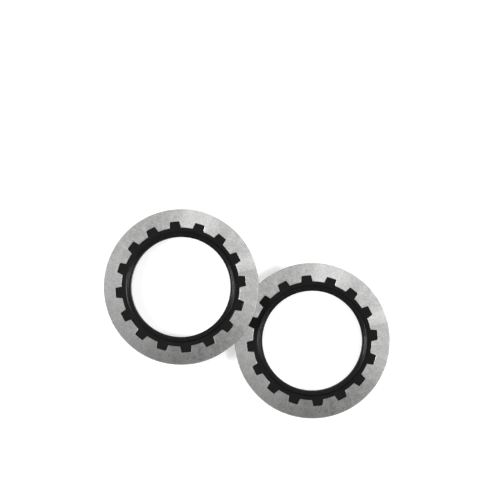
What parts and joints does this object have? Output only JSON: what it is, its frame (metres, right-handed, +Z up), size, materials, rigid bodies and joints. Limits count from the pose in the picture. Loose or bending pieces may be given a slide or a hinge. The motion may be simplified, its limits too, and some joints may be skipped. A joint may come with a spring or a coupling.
{
  "type": "pair of bonded seal washers",
  "caption": "Flat sealing washers, one leaning on the other: a toothed steel ring with a moulded rubber seal in its bore, which stops leaks past a bolt.",
  "frame": {"origin": "on the surface that the washers lie on, below the middle of the pair's box", "axes": "+X along the line through both centres, from the leaning washer to the flat one, +Z up"},
  "size_m": [0.0736, 0.0386, 0.0046],
  "materials": {
    "blanked_steel": "satin, tumbled after blanking",
    "nitrile_rubber": "moulded, black, with a soft gloss on the beads"
  },
  "bodies": {
    "root": {"lower_steel_ring": "blanked_steel", "lower_rubber_seal": "nitrile_rubber", "upper_steel_ring": "blanked_steel", "upper_rubber_seal": "nitrile_rubber"}
  },
  "joints": []
}
